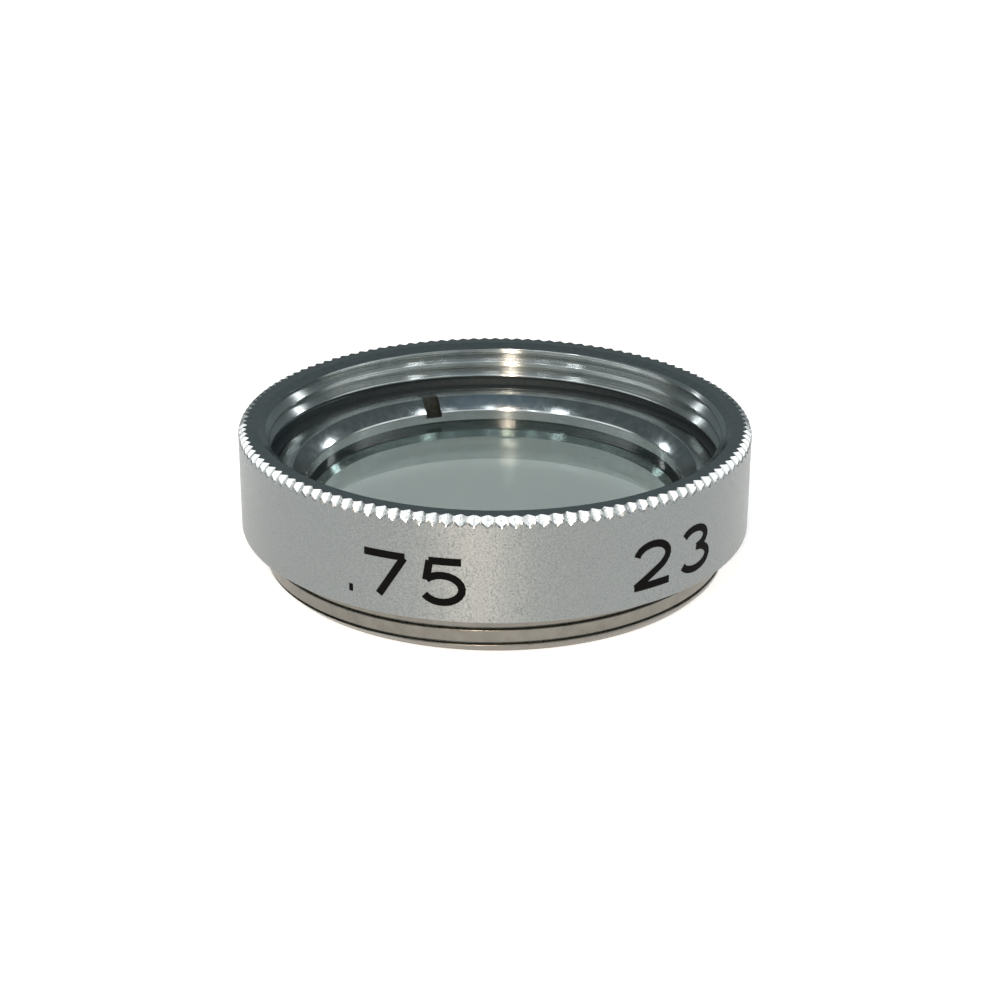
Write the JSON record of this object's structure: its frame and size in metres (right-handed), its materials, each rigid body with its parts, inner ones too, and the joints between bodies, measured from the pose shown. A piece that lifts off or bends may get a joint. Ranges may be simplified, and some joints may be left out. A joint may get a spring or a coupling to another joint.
{
  "type": "screw-in lens filter",
  "caption": "Round screw-in lens filter: a satin metal ring with a knurled front edge, front and rear threads, and a clear glass disc held by a slotted retaining ring.",
  "frame": {"origin": "centre of the rear end face, where the filter stands", "axes": "+Z along the optical axis, from the rear male thread to the knurled front edge"},
  "size_m": [0.0252, 0.0252, 0.0072],
  "materials": {
    "satin_metal": "satin, fine bead-blasted grain",
    "clear_glass": "polished, uncoated",
    "turned_metal": "bright turned"
  },
  "bodies": {
    "root": {"mount_ring": "satin_metal", "filter_glass": "clear_glass", "retaining_ring": "turned_metal"}
  },
  "joints": []
}
